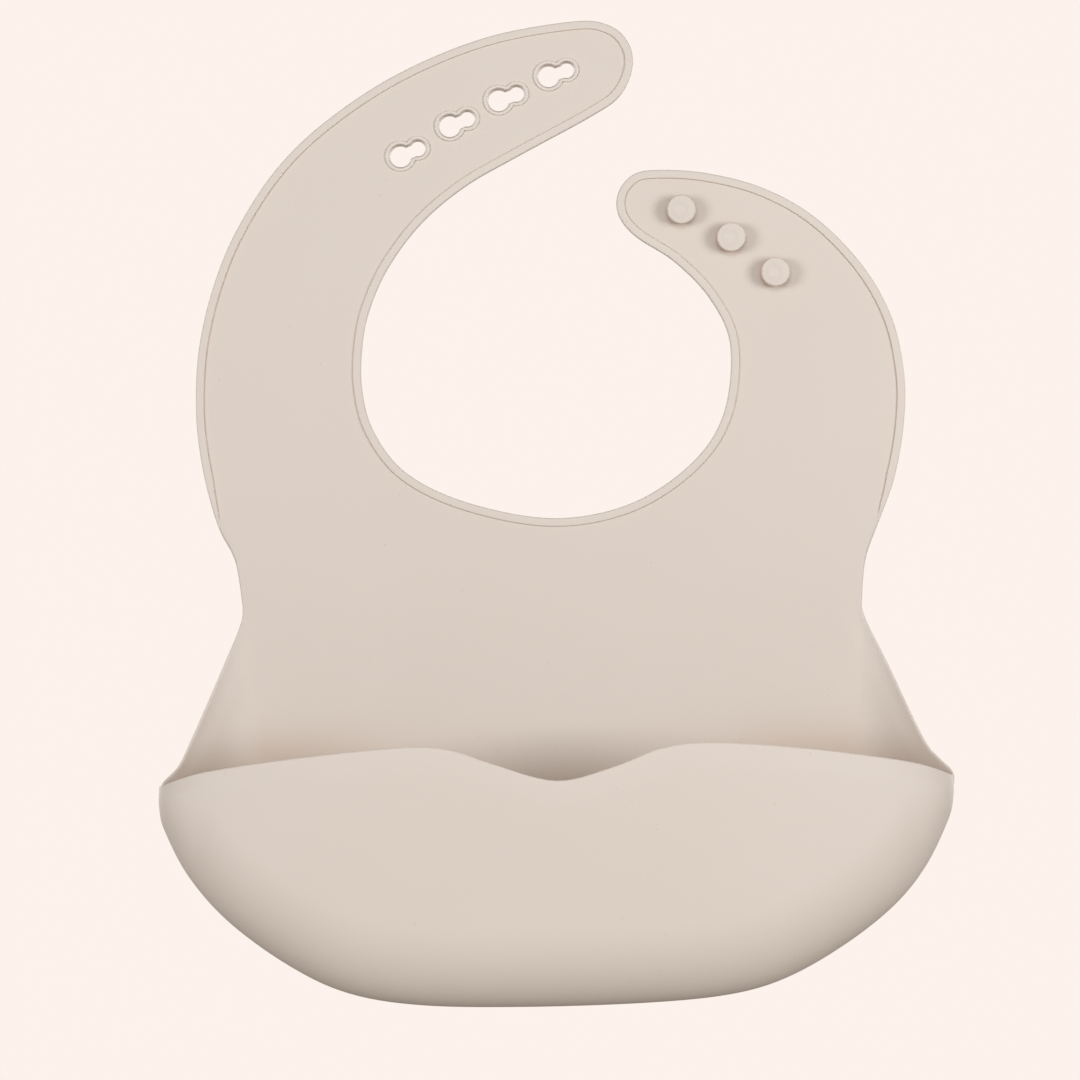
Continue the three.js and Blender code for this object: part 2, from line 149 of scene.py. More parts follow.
# The collar's one open edge as [x, z] in millimetres, from the left waist up round the keyhole strap, down
# round the neck, up round the stud strap and down to the right waist. Silicone lies to its right. A place
# on the edge is counted in these points, so 3.5 is half way from the fourth to the fifth.
EDGE = [
    [-91, -70.7], [-93.2, -57.4], [-98, -47.6], [-102, -33.5], [-104.3, -19], [-104.6, -5], [-103.2, 8.8],
    [-99.2, 24.5], [-92.8, 39.8], [-81.8, 57], [-67.5, 71.2], [-46, 85.6], [-20, 96.5], [6, 101.4],
    [16.6, 100.4], [22.3, 95.6], [23.9, 88.4], [20.3, 79.9], [12, 73.8], [-10, 61.8], [-25.3, 53],
    [-38, 42.4], [-47.6, 29.8], [-53.1, 18], [-55.6, 7], [-55.8, -6.5], [-52.2, -19.5], [-42.5, -31.6],
    [-24.5, -40.2], [0.5, -44.7], [23, -40.5], [41, -28.7], [50.6, -14], [52.6, 6],
    [46.8, 19.6], [36.4, 30.6], [24.9, 38.1], [19.8, 44.2], [19.4, 50.6], [23.4, 56], [30, 57.7],
    [45, 56.9], [62, 52.5], [77.5, 43.8], [91.2, 30], [100, 14.6], [103.7, -2], [103.6, -17],
    [100.9, -32.5], [96.4, -45.4], [92.4, -57], [91.3, -70.7],
]
EDGE_END = len(EDGE) - 1
LEFT_RIM_END = 2
RIGHT_RIM_END = 49
RIM_SWELL = 1.0  # the bead swells to full width over this many points
RIM_RISE = 0.35  # and to full height over this many
RIM_COVER = 0.15  # and covers the sheet's own edge within this many

# The pocket from the front: its free edges from the waist to just above its corners, its lower outline
# from corner to corner, and its lip.
LEFT_FREE_EDGE = [
    [-91, -70.7], [-91.6, -76], [-96.7, -89], [-104.8, -109], [-108.2, -116.6], [-112.6, -121.6],
]
RIGHT_FREE_EDGE = [
    [91.3, -70.7], [92.9, -75.5], [98.9, -88], [108, -108.6], [112, -114], [115.8, -118],
]
POCKET_OUTLINE = [
    [-113.7, -126.5], [-111.6, -134.2], [-104.5, -147.9], [-92.7, -161.2], [-75.2, -173.8], [-58.5, -181.5],
    [-38, -184.9], [-9, -185.4], [25.5, -184.3], [50, -182], [66.5, -177.4], [83.1, -168.2],
    [98, -156.6], [107.5, -144.9], [114.1, -131.2], [116.2, -123],
]
LIP = [
    [-112.6, -122], [-99.5, -117.3], [-74, -113], [-43, -109.6], [-29, -110.2], [-16, -114.4], [1.5, -118.8],
    [18, -114.6], [31, -109.6], [46, -108.1], [74, -110.1], [102, -114.2], [115, -118.6],
]

# The line that the keyholes' big lobes stand on, evenly spaced from its one end to its other
KEYHOLE_LINE = [[-44.5, 61.8], [-30, 70.7], [-15.6, 78.3], [-0.9, 85.4]]

# Where the collar is split into lengths, as places on the edge. Each length bends at one joint.
WAIST_SEAM = (1.0, 50.0)
KEYHOLE_ROOT = (3.1, 27.0)
KEYHOLE_ELBOW = (6.0, 24.6)
KEYHOLE_WRIST = (9.0, 22.0)
STUD_ROOT = (31.0, 48.0)
STUD_ELBOW = (32.45, 45.4)

# How finely the meshes are divided
STEPS_PER_POINT = 8
CURVE_SAMPLES = 400
LATTICE = 2.4 * MM  # spacing of the points that fill a flat sheet
OUTLINE_MARGIN = 0.6 * LATTICE
HOLE_MARGIN = 0.5 * LATTICE
SLIVER = 0.001  # of LATTICE squared: a smaller triangle lies along a straight cut, outside the outline
WHOLE_HULL = 0  # the triangulation's output that leaves nothing out
JOIN_DISTANCE = 1e-5  # points closer than this are one point to it, in millimetres
WALL_STEPS = 6
BEAD_CORNER_POINTS = 6
KEYHOLE_STEPS = 18
STUD_STEPS = 56
POCKET_COLUMNS = 128
COLUMN_CROWDING = 0.5
BAND_ROWS_ABOVE = 9
BAND_ROWS_BELOW = 14
BAND_SHARE = 0.3  # the waist band takes this share of the pocket's back
BACK_ROWS = 38
FRONT_ROWS = 34
BACK_ROW_CROWDING = 1.6
FRONT_ROW_CROWDING = 1.4
SEAM_ROW_SHARE = 0.002  # an extra row this close to a seam keeps its shading even across it
OUTLINE_STEP = 0.002  # share of the pocket's outline over which its direction is taken
SHARP_ANGLE = math.radians(50)
SHORTEST = 1e-12  # keeps a vector of no length from being divided by nothing

# Colours of the silicone: its two cloudy tones, and a warm dark tone painted into its hollows and creases as
# painted shade
PAINTED_HOLLOW_SHADE = (0.5, 0.33, 0.2, 1)
SHEET_TONES = ((0.755, 0.660, 0.585, 1), (0.735, 0.640, 0.565, 1), PAINTED_HOLLOW_SHADE)
# Painted light: the beads and studs take a slightly lighter copy of the sheet's tones
RAISED_LIGHTENED_TONES = ((0.765, 0.670, 0.595, 1), (0.745, 0.650, 0.575, 1), PAINTED_HOLLOW_SHADE)
# Painted light: the keyhole collars take a lighter copy, with a lighter painted shade, that paints light
# onto their walls
COLLAR_LIGHTENED_TONES = ((0.79, 0.7, 0.63, 1), (0.77, 0.68, 0.61, 1), (0.66, 0.5, 0.4, 1))
DUST_TONE = (0.42, 0.34, 0.28, 1)

# The studio, in metres and watts. A softbox is its place from the bib's middle, its side and its power.
SOFTBOXES = {
    "left": ((-0.85, -0.9, 0.08), 0.45, 5.5),
    "right": ((0.7, -0.75, 0.07), 0.4, 4.7),
    "front": ((0, -1, 0.3), 0.4, 2.7),
    "back_left": ((-0.8, 0.8, 0.15), 0.6, 5.0),
    "back_right": ((0.8, 0.8, 0.15), 0.6, 5.0),
}
SOFTBOX_TONE = (0.955, 1, 1.04)
AMBIENT_TONE = (1, 0.86, 0.72, 1)
AMBIENT_STRENGTH = 0.2
BACKDROP_TONE = (0.982, 0.888, 0.838, 1)
FLOOR_TONE = (0.87, 0.79, 0.74, 1)
FLOOR_COVER = 0.3
FLOOR_RADIUS = 0.85
FLOOR_SIDES = 96
FLOOR_FADE = (0.25, 0.97 * FLOOR_RADIUS)  # the radii between which the floor fades out
FLOOR_DROP = 0.3
CAMERA_Y = -1.0
CAMERA_LEFT = 4.9 * MM
CAMERA_DOWN = 9.2 * MM
CAMERA_LENS = 113.2  # millimetres, on a sensor that is 36 wide
CAMERA_SENSOR = 36


# ---------- curves ----------

def mix(a, b, share):
    return a + (b - a) * share


def smooth(share):
    """A share from 0 to 1 that starts and stops gently."""
    share = np.clip(share, 0, 1)
    return share * share * (3 - 2 * share)


def quarter_round(distance, radius):
    """The rise from 0 to 1 of a quarter circle, over a distance of its radius."""
    share = np.minimum(distance / radius, 1)
    return np.sqrt(1 - (1 - share) ** 2)


def unit(vectors):
    return vectors / np.maximum(np.linalg.norm(vectors, axis=-1, keepdims=True), SHORTEST)


def spline_at(points, position):
    """Places on the smooth curve through points, and its direction there, counted in points."""
    knots = np.array(points, float) * MM
    last = len(knots) - 1
    position = np.clip(np.atleast_1d(np.asarray(position, float)), 0, last)
    base = np.minimum(position.astype(int), last - 1)
    share = (position - base)[:, None]
    before = knots[np.maximum(base - 1, 0)]
    here = knots[base]
    after = knots[base + 1]
    later = knots[np.minimum(base + 2, last)]
    slope_here = (after - before) / 2
    slope_after = (later - here) / 2
    cubic = 2 * here - 2 * after + slope_here + slope_after
    square = -3 * here + 3 * after - 2 * slope_here - slope_after
    place = cubic * share**3 + square * share**2 + slope_here * share + here
    slope = 3 * cubic * share**2 + 2 * square * share + slope_here
    return place, unit(slope)


def measured_curve(points):
    """Close-set places on the smooth curve through points, and how far along it each of them is."""
    places, _ = spline_at(points, np.linspace(0, len(points) - 1, CURVE_SAMPLES))
    steps = np.linalg.norm(np.diff(places, axis=0), axis=1)
    return places, np.concatenate([[0], np.cumsum(steps)])


def spline_evenly(points, shares):
    """Places on the smooth curve through points at shares of its length."""
    places, run = measured_curve(points)
    distance = np.asarray(shares, float) * run[-1]
    return np.stack([np.interp(distance, run, places[:, axis]) for axis in (0, 1)], axis=-1)


def spline_length(points):
    _, run = measured_curve(points)
    return run[-1]


# ---------- the collar's edge ----------

def from_rim_end(position):
    """How many points of the edge lie between a position and the nearer end of the bead."""
    return np.minimum(position - LEFT_RIM_END, RIGHT_RIM_END - position)


def rim_width(position):
    return mix(RIM_END_WIDTH, RIM_WIDTH, np.clip(from_rim_end(position) / RIM_SWELL, 0, 1))


def rim_height(position):
    return mix(-TUCK, RIM_HEIGHT, smooth(from_rim_end(position) / RIM_RISE))


def rim_cover(position):
    """0 where the sheet's edge is bare and 1 where the bead hides it."""
    return np.clip(from_rim_end(position) / RIM_COVER, 0, 1)


def run_positions(start, end):
    count = math.ceil((end - start) * STEPS_PER_POINT)
    return np.linspace(start, end, count + 1)


def edge_frame(position):
    """Places on the edge and the directions out of the silicone."""
    place, along = spline_at(EDGE, position)
    outward = np.stack([-along[:, 1], along[:, 0]], axis=1)
    return place, outward


# ---------- mesh making ----------

def in_depth(flat, depth):
    """Points drawn in x and z, set at a depth along y."""
    return np.stack([flat[:, 0], np.broadcast_to(depth, len(flat)), flat[:, 1]], axis=1)


def add_piece(name, vertices, faces, material):
    """One closed mesh as a named object, smooth except at its seams' hard edges."""
    mesh = bpy.data.meshes.new(name)
    mesh.from_pydata([tuple(map(float, v)) for v in vertices], [], faces)
    shell = bmesh.new()
    shell.from_mesh(mesh)
    bmesh.ops.recalc_face_normals(shell, faces=shell.faces)
    shell.to_mesh(mesh)
    shell.free()
    mesh.shade_smooth()
    mesh.set_sharp_from_angle(angle=SHARP_ANGLE)
    mesh.materials.append(material)
    piece = bpy.data.objects.new(name, mesh)
    bpy.context.scene.collection.objects.link(piece)
    return piece


def loop_faces(upper, lower):
    """Quads between two closed loops, given as their vertices' numbers."""
    size = len(upper)
    return [(upper[i], upper[(i + 1) % size], lower[(i + 1) % size], lower[i]) for i in range(size)]


def stacked_faces(loops):
    """Quads between closed loops that follow each other."""
    faces = []
    for upper, lower in zip(loops, loops[1:]):
        faces += loop_faces(upper, lower)
    return faces


def ring_loops(rings):
    """The vertices' numbers in rings of one size that are stored one after the other."""
    return list(np.arange(len(rings) * len(rings[0])).reshape(len(rings), -1))


def add_tube(name, rings, material):
    """Rings of vertices joined into a tube with flat ends."""
    loops = ring_loops(rings)
    faces = stacked_faces(loops)
    faces.append(tuple(loops[0]))
    faces.append(tuple(loops[-1]))
    return add_piece(name, np.concatenate(rings), faces, material)


def add_torus(name, rings, material):
    """Rings of vertices joined into a tube whose last ring meets its first."""
    loops = ring_loops(rings)
    faces = stacked_faces([*loops, loops[0]])
    return add_piece(name, np.concatenate(rings), faces, material)


# ---------- flat sheets ----------

def inside(points, polygon):
    """Which points lie inside a closed polygon."""
    a, b = polygon, np.roll(polygon, -1, axis=0)
    x, z = points[:, None, 0], points[:, None, 1]
    crosses = (a[:, 1] > z) != (b[:, 1] > z)
    rise = np.where(b[:, 1] == a[:, 1], 1, b[:, 1] - a[:, 1])
    reach = a[:, 0] + (z - a[:, 1]) * (b[:, 0] - a[:, 0]) / rise
    return (crosses & (x < reach)).sum(axis=1) % 2 == 1


def clearance(points, polygon):
    """Distance from each point to the nearest side of a closed polygon."""
    a, b = polygon, np.roll(polygon, -1, axis=0)
    side = b - a
    offset = points[:, None] - a
    share = np.clip((offset * side).sum(-1) / (side**2).sum(-1), 0, 1)
    return np.linalg.norm(offset - share[..., None] * side, axis=-1).min(axis=1)


def lattice_points(outline, holes):
    """Points of an even triangular lattice that lie well inside the outline and outside the holes."""
    low, high = outline.min(axis=0), outline.max(axis=0)
    row_step = LATTICE * math.sqrt(3) / 2
    rows = np.arange(low[1], high[1], row_step)
    points = np.array([
        (x + (j % 2) * LATTICE / 2, z)
        for j, z in enumerate(rows)
        for x in np.arange(low[0], high[0], LATTICE)
    ])
    kept = inside(points, outline) & (clearance(points, outline) > OUTLINE_MARGIN)
    for hole in holes:
        kept &= ~inside(points, hole) & (clearance(points, hole) > HOLE_MARGIN)
    return points[kept]


def numbered_loops(loops):
    """The vertices' numbers in loops that are stored one after the other."""
    ends = np.cumsum([len(loop) for loop in loops])
    return [np.arange(end - len(loop), end) for loop, end in zip(loops, ends)]


def fill_outline(outline, holes):
    """Triangles over a flat outline with holes.

    The vertices are the outline's, then the holes', then a lattice's."""
    loops = [outline, *holes]
    corners = np.concatenate([*loops, lattice_points(outline, holes)])
    sides = []
    for loop in numbered_loops(loops):
        sides += [(int(a), int(b)) for a, b in zip(loop, np.roll(loop, -1))]
    flat = [Vector(point) for point in corners / MM]
    found = delaunay_2d_cdt(flat, sides, [], WHOLE_HULL, JOIN_DISTANCE)
    places, triangles, sources = found[0], found[2], found[3]
    shapes = np.array([tuple(place) for place in places])[np.array(triangles)] * MM
    first_side = shapes[:, 1] - shapes[:, 0]
    second_side = shapes[:, 2] - shapes[:, 0]
    area = np.abs(first_side[:, 0] * second_side[:, 1] - first_side[:, 1] * second_side[:, 0]) / 2
    centres = shapes.mean(axis=1)
    kept = inside(centres, outline) & (area > SLIVER * LATTICE**2)
    for hole in holes:
        kept &= ~inside(centres, hole)
    faces = [tuple(sources[i][0] for i in face) for face, good in zip(triangles, kept) if good]
    return corners, faces


def wall_angles():
    """The turn from the sheet's front to its back, without its two ends."""
    return np.linspace(math.pi / 2, -math.pi / 2, WALL_STEPS + 1)[1:-1]


def flat_sheet(name, outline, outward, rounding, material, holes=()):
    """A flat piece of the sheet. The outline's bare stretches are rounded from front to back."""
    pull = outward * rounding[:, None]
    corners, triangles = fill_outline(outline - pull, holes)
    count = len(corners)
    vertices = [in_depth(corners, -HALF_SHEET), in_depth(corners, HALF_SHEET)]
    faces = triangles + [tuple(i + count for i in reversed(face)) for face in triangles]
    border, *hole_loops = numbered_loops([outline, *holes])
    levels = [border]
    for angle in wall_angles():
        levels.append(border + sum(map(len, vertices)))
        ring = outline + pull * (math.cos(angle) - 1)
        vertices.append(in_depth(ring, -HALF_SHEET * math.sin(angle)))
    levels.append(border + count)
    faces += stacked_faces(levels)
    for loop in hole_loops:
        faces += loop_faces(loop, loop + count)
    return add_piece(name, np.concatenate(vertices), faces, material)


def seam_points(start, end):
    """Points along the straight cut between two places, without the places themselves."""
    count = max(2, round(np.linalg.norm(end - start) / LATTICE))
    return mix(start, end, np.linspace(0, 1, count + 1)[1:-1, None])


def sheet_edge(start, end):
    """One run of the sheet's own edge, half a bead inside the collar's where a bead hides it."""
    position = run_positions(start, end)
    place, outward = edge_frame(position)
    cover = rim_cover(position)
    place = place - outward * (rim_width(position) / 2 * cover)[:, None]
    return place, outward, EDGE_ROUND * (1 - cover)


def collar_outline(runs):
    """The closed outline made by runs of the edge and the straight cuts between them."""
    stretches = [sheet_edge(start, end) for start, end in runs]
    following = stretches[1:] + stretches[:1]
    for (place, outward, _), (next_place, next_outward, _) in zip(stretches, following):
        cut = unit(place[-1] - next_place[0])
        outward[-1] = cut
        next_outward[0] = -cut
    parts = []
    for stretch, (next_place, _, _) in zip(stretches, following):
        seam = seam_points(stretch[0][-1], next_place[0])
        parts.append(stretch)
        parts.append((seam, np.zeros_like(seam), np.zeros(len(seam))))
    return [np.concatenate(column) for column in zip(*parts)]


# ---------- beads, keyholes and studs ----------

def bead_ring(width, height):
    """The bead's cross section as [inset, y], a rectangle with rounded corners."""
    front, back = -(HALF_SHEET + height), HALF_SHEET - TUCK
    corner = min(RIM_CORNER, width * RIM_CORNER_LIMIT)
    inner_corner = min(RIM_INNER_CORNER, width * RIM_SMALL_CORNER_LIMIT)
    back_corner = min(RIM_BACK_CORNER, width * RIM_SMALL_CORNER_LIMIT)
    corners = [
        (corner, front + corner, corner, math.pi),
        (width - inner_corner, front + inner_corner, inner_corner, 1.5 * math.pi),
        (width - back_corner, back - back_corner, back_corner, 0),
        (back_corner, back - back_corner, back_corner, 0.5 * math.pi),
    ]
    return np.array([
        (inset + radius * math.cos(start + turn), y + radius * math.sin(start + turn))
        for inset, y, radius, start in corners
        for turn in np.linspace(0, math.pi / 2, BEAD_CORNER_POINTS)
    ])


def bead(name, start, end, material):
    """The raised bead along one run of the edge."""
    position = run_positions(start, end)
    place, outward = edge_frame(position)
    rings = []
    for here, out, width, height in zip(place, outward, rim_width(position), rim_height(position)):
        section = bead_ring(width, height)
        rings.append(in_depth(here - out * section[:, :1], section[:, 1]))
    return add_tube(name, rings, material)


def keyhole_points(grow):
    """Two round lobes joined by a straight neck, the big one at the origin and the small one along +x."""
    lobe, slot = KEYHOLE_LOBE + grow, KEYHOLE_SLOT + grow
    crossing = (KEYHOLE_SPACING**2 + lobe**2 - slot**2) / (2 * KEYHOLE_SPACING)
    narrowest = math.sqrt(max(lobe**2 - crossing**2, 0)) + KEYHOLE_NECK_SPARE
    neck = max(KEYHOLE_NECK + grow * KEYHOLE_NECK_GROWTH, narrowest)
    lobe_angle, slot_angle = math.asin(neck / lobe), math.asin(neck / slot)
    arcs = [
        (0, lobe, np.linspace(lobe_angle, 2 * math.pi - lobe_angle, 2 * KEYHOLE_STEPS)),
        (KEYHOLE_SPACING, slot, np.linspace(slot_angle - math.pi, math.pi - slot_angle, KEYHOLE_STEPS)),
    ]
    return np.concatenate([
        np.stack([centre + radius * np.cos(angle), radius * np.sin(angle)], axis=1)
        for centre, radius, angle in arcs
    ])


def keyhole_outline(index, grow):
    """One keyhole's outline, grown by a distance, at its place on the strap."""
    place, along = spline_at(KEYHOLE_LINE, index * (len(KEYHOLE_LINE) - 1) / (KEYHOLE_COUNT - 1))
    angle = math.atan2(along[0, 1], along[0, 0]) + KEYHOLE_TURN
    turned = np.array([[math.cos(angle), math.sin(angle)], [-math.sin(angle), math.cos(angle)]])
    return keyhole_points(grow) @ turned + place


def keyhole_collar(name, index, material):
    """The raised collar round one keyhole, with a rounded crown and walls that narrow to the back."""
    front, back = RIM_FRONT_Y, HALF_SHEET - TUCK
    profile = [
        (COLLAR_WIDTH, back),
        *((COLLAR_WIDTH - inset * MM, front + depth * MM) for inset, depth in COLLAR_OUTER_CORNER),
        *((outside * MM, front + depth * MM) for outside, depth in COLLAR_INNER_CORNER),
        *((-KEYHOLE_DRAFT * share, front + depth * MM) for share, depth in COLLAR_WALL),
        (-KEYHOLE_DRAFT, back),
    ]
    rings = [in_depth(keyhole_outline(index, grow), y) for grow, y in profile]
    return add_torus(name, rings, material)


def stud(name, node, material):
    """A mushroom stud: a filleted stem, and a head with a rounded rim and a plain raised ring on top."""
    low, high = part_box(node)
    centre = (low + high) / 2
    top = -HALF_SHEET - low.y
    profile = [
        *((radius * MM, height * MM) for radius, height in STUD_STEM),
        *((STUD_RADIUS - inset * MM, height * MM) for inset, height in STUD_UNDERSIDE),
        *((STUD_RADIUS - inset * MM, top - depth * MM) for inset, depth in STUD_CROWN),
        *((radius * MM, top - depth * MM) for radius, depth in STUD_RING),
    ]
    turns = np.linspace(0, 2 * math.pi, STUD_STEPS, endpoint=False)
    circle = np.stack([np.cos(turns), np.sin(turns)], axis=1)
    rings = [
        in_depth(circle * radius + (centre.x, centre.z), -HALF_SHEET - height)
        for radius, height in profile
    ]
    return add_tube(name, rings, material)


# ---------- the pocket ----------

def cornerness(u):
    """0 across the pocket's middle and 1 at its two corners."""
    return np.abs(2 * u - 1) ** CORNER_POWER


def column_shares():
    """Places across the pocket from 0 to 1, closer together at its two corners."""
    even = np.linspace(0, 1, POCKET_COLUMNS + 1)
    return even - COLUMN_CROWDING * np.sin(2 * math.pi * even) / (2 * math.pi)


def outline_row(u):
    """The middle of the sheet at the outline, half a sheet inside what is seen from the front."""
    ahead = spline_evenly(POCKET_OUTLINE, np.minimum(u + OUTLINE_STEP, 1))
    behind = spline_evenly(POCKET_OUTLINE, np.maximum(u - OUTLINE_STEP, 0))
    along = unit(ahead - behind)
    inward = np.stack([-along[:, 1], along[:, 0]], axis=1)
    return spline_evenly(POCKET_OUTLINE, u) + inward * HALF_SHEET


def free_edge(points, corner):
    """A free edge's points, ended at the pocket's corner."""
    return [*points, list(outline_row(np.array([corner]))[0] / MM)]


def pocket_back_row(u, v):
    """One row of the back wall, with v from 0 at the waist to 1 at the outline."""
    left_edge, right_edge = free_edge(LEFT_FREE_EDGE, 0), free_edge(RIGHT_FREE_EDGE, 1)
    left, right = spline_evenly(left_edge, v), spline_evenly(right_edge, v)
    low = outline_row(u)
    across = u[:, None]
    waist = mix(spline_evenly(left_edge, 0), spline_evenly(right_edge, 0), across)
    chord = mix(low[0], low[-1], across)
    place = mix(left, right, across) + mix(waist, low, v) - mix(waist, chord, v)
    corner = cornerness(u)
    distance = np.linalg.norm(place - low, axis=1)
    sweep = mix(-HINGE_Y, spline_length(left_edge), corner)
    gentle = 1 - (1 - np.minimum(distance / sweep, 1)) ** EAR_SWEEP_POWER
    rise = mix(quarter_round(distance, sweep), gentle, corner)
    fold = EAR_FOLD_RADIUS * corner * quarter_round(distance, EAR_FOLD_RADIUS)
    return in_depth(place, (HINGE_Y + fold) * (1 - rise))


def pocket_front_row(u, v):
    """One row of the front wall, with v from 0 at the outline to 1 at the lip."""
    low, lip = outline_row(u), spline_evenly(LIP, u)
    place = mix(low, lip, v)
    height = np.linalg.norm(lip - low, axis=1)
    reach = np.minimum(-HINGE_Y, np.maximum(height * FRONT_FOOT_SHARE, EAR_FOLD_RADIUS))
    rise = quarter_round(np.linalg.norm(place - low, axis=1), reach)
    bow = (1 - np.abs(2 * u - 1) ** LIP_BOW_SHAPE) ** LIP_BOW_FULLNESS
    lip_depth = mix(-HINGE_Y + EAR_FOLD_RADIUS, LIP_DEPTH - HALF_SHEET, bow)
    lean = 1 - FRONT_LEAN * (1 - v)
    return in_depth(place, HINGE_Y - (lip_depth + HINGE_Y) * rise * lean)


def chest_row(u, position):
    """One row across the chest between two places on its edges, level with each other."""
    left, _ = spline_at(EDGE, position)
    right, _ = spline_at(EDGE, EDGE_END - position)
    return in_depth(mix(left, right, u[:, None]), 0)


def pocket_grid():
    """Middle points of the sheet from the waist seam down the back, round the floor and up to the lip.

    Also gives the number of the row at which the waist band ends and the pouch starts."""
    u = column_shares()
    above = np.linspace(WAIST_SEAM[0], 0, BAND_ROWS_ABOVE + 1)[:-1]
    band = np.linspace(0, BAND_SHARE, BAND_ROWS_BELOW + 1)
    seam = [BAND_SHARE - SEAM_ROW_SHARE, BAND_SHARE, BAND_SHARE + SEAM_ROW_SHARE]
    rest = mix(BAND_SHARE, 1, 1 - (1 - np.linspace(0, 1, BACK_ROWS + 1)) ** BACK_ROW_CROWDING)
    front = np.linspace(0, 1, FRONT_ROWS + 1)[1:] ** FRONT_ROW_CROWDING
    rows = [chest_row(u, position) for position in above]
    rows += [pocket_back_row(u, v) for v in [*band[:-1], *seam, *rest[1:]]]
    rows += [pocket_front_row(u, v) for v in front]
    return np.array(rows), len(above) + len(band)


def grid_normals(grid):
    across = np.gradient(grid, axis=1)
    down = np.gradient(grid, axis=0)
    return unit(np.cross(across, down))


def edge_step(outer, inner):
    """From an edge's inner neighbours out to the edge, no longer than the rounding."""
    step = outer - inner
    length = np.linalg.norm(step, axis=-1, keepdims=True)
    return unit(step) * np.minimum(EDGE_ROUND, length * EDGE_ROUND_LIMIT)


def edge_pull(grid):
    """How far each border point's faces draw in, to leave room for the rounding of a bare edge."""
    pull = np.zeros_like(grid)
    pull[-1] = edge_step(grid[-1], grid[-2])
    pull[:, 0] += edge_step(grid[:, 0], grid[:, 1])
    pull[:, -1] += edge_step(grid[:, -1], grid[:, -2])
    return pull


def run_lengths(grid, axis):
    """How far each point is along its row or column of the grid."""
    steps = np.linalg.norm(np.diff(grid, axis=axis), axis=2)
    start = np.zeros_like(np.take(steps, [0], axis=axis))
    return np.concatenate([start, np.cumsum(steps, axis=axis)], axis=axis)


def half_thickness(grid):
    """Half the sheet's thickness at each point, less towards the pocket's side edges and lip."""
    across, down = run_lengths(grid, 1), run_lengths(grid, 0)
    from_side = np.minimum(across, across[:, -1:] - across)
    side = mix(EDGE_THINNING, 1, smooth(from_side / THINNING_REACH))
    below_seam = grid[:1, :, 2] - grid[:, :, 2]
    side = mix(1, side, smooth(below_seam / THINNING_START))
    lip = mix(EDGE_THINNING, 1, smooth((down[-1:] - down) / THINNING_REACH))
    return HALF_SHEET * np.minimum(side, lip)[..., None]


def thick_grid(name, grid, out, pull, material):
    """A sheet over a grid of middle points and the steps out to its front, with rounded bare edges."""
    height, width = grid.shape[:2]
    count = height * width
    face = grid - pull
    vertices = [(face + out).reshape(-1, 3), (face - out).reshape(-1, 3)]
    index = np.arange(count).reshape(height, width)
    corners = [index[:-1, :-1], index[1:, :-1], index[1:, 1:], index[:-1, 1:]]
    quads = np.stack(corners, axis=-1).reshape(-1, 4)
    faces = [tuple(quad) for quad in np.concatenate([quads, quads + count])]
    border = np.concatenate([index[0], index[1:, -1], index[-1, -2::-1], index[-2:0:-1, 0]])
    middle, drawn, thick = (field.reshape(-1, 3)[border] for field in (grid, pull, out))
    levels = [border]
    for angle in wall_angles():
        levels.append(np.arange(len(border)) + sum(map(len, vertices)))
        vertices.append(middle + drawn * (math.cos(angle) - 1) + thick * math.sin(angle))
    levels.append(border + count)
    faces += stacked_faces(levels)
    return add_piece(name, np.concatenate(vertices), faces, material)


# ---------- materials ----------

class Nodes:
    """A short way to add and link a material's nodes."""

    def __init__(self, name):
        self.material = bpy.data.materials.new(name)
        self.material.use_nodes = True
        self.tree = self.material.node_tree
        self.shader = self.tree.nodes["Principled BSDF"]

    def feed(self, socket, value):
        """Links a socket to another node's output, or gives it a constant."""
        if isinstance(value, bpy.types.NodeSocket):
            self.tree.links.new(value, socket)
        else:
            socket.default_value = value

    def add(self, kind, inputs=(), **settings):
        node = self.tree.nodes.new(kind)
        for key, value in settings.items():
            setattr(node, key, value)
        for key, value in dict(inputs).items():
            self.feed(node.inputs[key], value)
        return node

    def blend_colours(self, share, first, second):
        """The colour at a share of the way from the first to the second."""
        node = self.add("ShaderNodeMix", {"Factor": share}, data_type="RGBA")
        ends = [socket for socket in node.inputs if socket.type == "RGBA"]
        self.feed(ends[0], first)
        self.feed(ends[1], second)
        return next(socket for socket in node.outputs if socket.type == "RGBA")

    def set(self, socket, value):
        self.feed(self.shader.inputs[socket], value)


